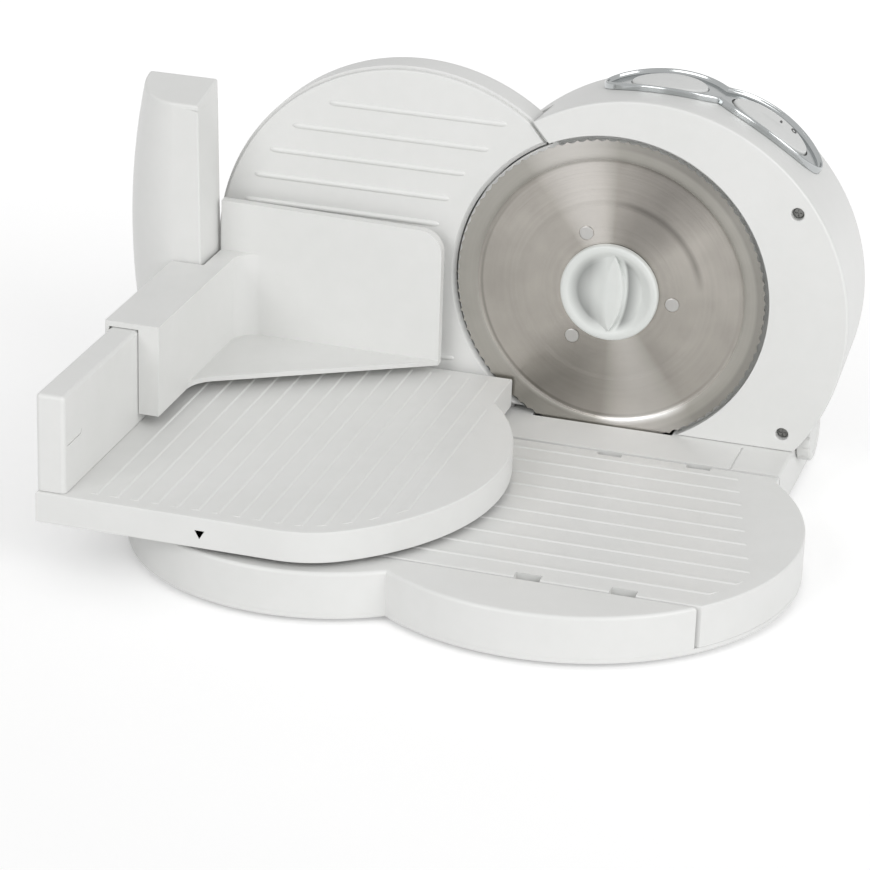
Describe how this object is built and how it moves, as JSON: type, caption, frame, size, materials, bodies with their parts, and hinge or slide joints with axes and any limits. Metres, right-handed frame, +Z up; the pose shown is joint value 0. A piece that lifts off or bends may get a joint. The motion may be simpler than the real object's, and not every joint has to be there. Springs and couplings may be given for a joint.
{
  "type": "electric food slicer",
  "caption": "White electric food slicer: round serrated blade, ribbed thickness gauge that slides back, carriage with food pusher and thumb guard, ribbed pull-out tray, rim switches.",
  "frame": {"origin": "bottom centre of the whole machine at rest, on the bench under the feet", "axes": "+X to the user's right along the blade and the carriage travel, +Y away from the user towards the motor, +Z up"},
  "size_m": [0.45, 0.3554, 0.24],
  "materials": {
    "white_plastic": "satin white moulding",
    "foot_rubber": "matt",
    "plain_steel": "zinc plated",
    "blade_steel": "circular brushed",
    "chrome_trim": "bright plated plastic",
    "natural_nylon": "as moulded",
    "dark_plastic": "matt",
    "motor_steel": "painted can",
    "bush_bronze": "sintered"
  },
  "bodies": {
    "base": {"base_body": "white_plastic", "base_floor": "white_plastic", "rubber_foot_1": "foot_rubber", "rubber_foot_2": "foot_rubber", "rubber_foot_3": "foot_rubber", "rubber_foot_4": "foot_rubber", "floor_screw_1": "plain_steel", "floor_screw_2": "plain_steel", "floor_screw_3": "plain_steel", "floor_screw_4": "plain_steel", "rear_housing": "white_plastic", "face_plate": "white_plastic", "face_screw_1": "plain_steel", "face_screw_2": "plain_steel", "cord_gland": "dark_plastic", "control_bezel": "chrome_trim", "safety_switch": "dark_plastic", "power_switch": "dark_plastic", "motor_bracket": "plain_steel", "bracket_screw_1": "plain_steel", "bracket_screw_2": "plain_steel", "bracket_screw_3": "plain_steel", "bracket_screw_4": "plain_steel", "motor_can": "motor_steel", "worm_bush": "bush_bronze", "blade_axle": "plain_steel", "guide_rod_1": "plain_steel", "guide_rod_2": "plain_steel"},
    "tray": {"slice_tray": "white_plastic"},
    "gauge": {"gauge_front_plate": "white_plastic", "gauge_rear_shell": "white_plastic", "gauge_slide_bar": "plain_steel", "gauge_rack": "natural_nylon"},
    "gauge_knob": {"thickness_knob": "white_plastic", "knob_shaft": "plain_steel", "knob_pinion": "natural_nylon"},
    "carriage": {"carriage_table": "white_plastic", "carriage_side_wall": "white_plastic", "thumb_guard": "white_plastic"},
    "pusher": {"food_pusher": "white_plastic"},
    "blade": {"slicing_blade": "blade_steel", "drive_gear": "natural_nylon", "blade_rivet_1": "plain_steel", "blade_rivet_2": "plain_steel", "blade_rivet_3": "plain_steel"},
    "lock_knob": {"blade_knob": "white_plastic"},
    "rotor": {"motor_shaft": "plain_steel", "motor_worm": "plain_steel", "cooling_fan": "dark_plastic"},
    "rocker": {"power_rocker": "white_plastic"},
    "button": {"safety_button": "white_plastic"}
  },
  "joints": [
    {"name": "tray_slide", "type": "slide", "parent": "base", "child": "tray", "axis": [1, 0, 0], "range_m": [0, 0.16]},
    {"name": "gauge_slide", "type": "slide", "parent": "base", "child": "gauge", "axis": [0, 1, 0], "range_m": [0, 0.015]},
    {"name": "knob_turn", "type": "hinge", "parent": "base", "child": "gauge_knob", "pos_m": [0.197, 0.11035, 0.0355], "axis": [1, 0, 0], "range_deg": [0, 191]},
    {"name": "carriage_slide", "type": "slide", "parent": "base", "child": "carriage", "axis": [1, 0, 0], "range_m": [0, 0.19]},
    {"name": "pusher_slide", "type": "slide", "parent": "carriage", "child": "pusher", "axis": [0, 1, 0], "range_m": [-0.1, 0]},
    {"name": "blade_spin", "type": "hinge", "parent": "base", "child": "blade", "pos_m": [0.075, 0.08935, 0.1166], "axis": [0, 1, 0], "continuous": true},
    {"name": "lock_knob_turn", "type": "hinge", "parent": "blade", "child": "lock_knob", "pos_m": [0.075, 0.08935, 0.1166], "axis": [0, 1, 0], "range_deg": [0, 90]},
    {"name": "rotor_spin", "type": "hinge", "parent": "base", "child": "rotor", "pos_m": [0.135, 0.13135, 0.0663], "axis": [1, 0, 0], "continuous": true},
    {"name": "rocker_tilt", "type": "hinge", "parent": "base", "child": "rocker", "pos_m": [0.15398, 0.13535, 0.20974], "axis": [0, 1, 0], "range_deg": [-5, 5]},
    {"name": "button_press", "type": "slide", "parent": "base", "child": "button", "axis": [-0.0262, 0, -0.9997], "range_m": [0, 0.003], "stiffness_N_per_m": 600}
  ],
  "couplings": [
    {"joint": "knob_turn", "follows": "gauge_slide", "rad_per_m": 222.22},
    {"joint": "rotor_spin", "follows": "blade_spin", "ratio": 40}
  ]
}
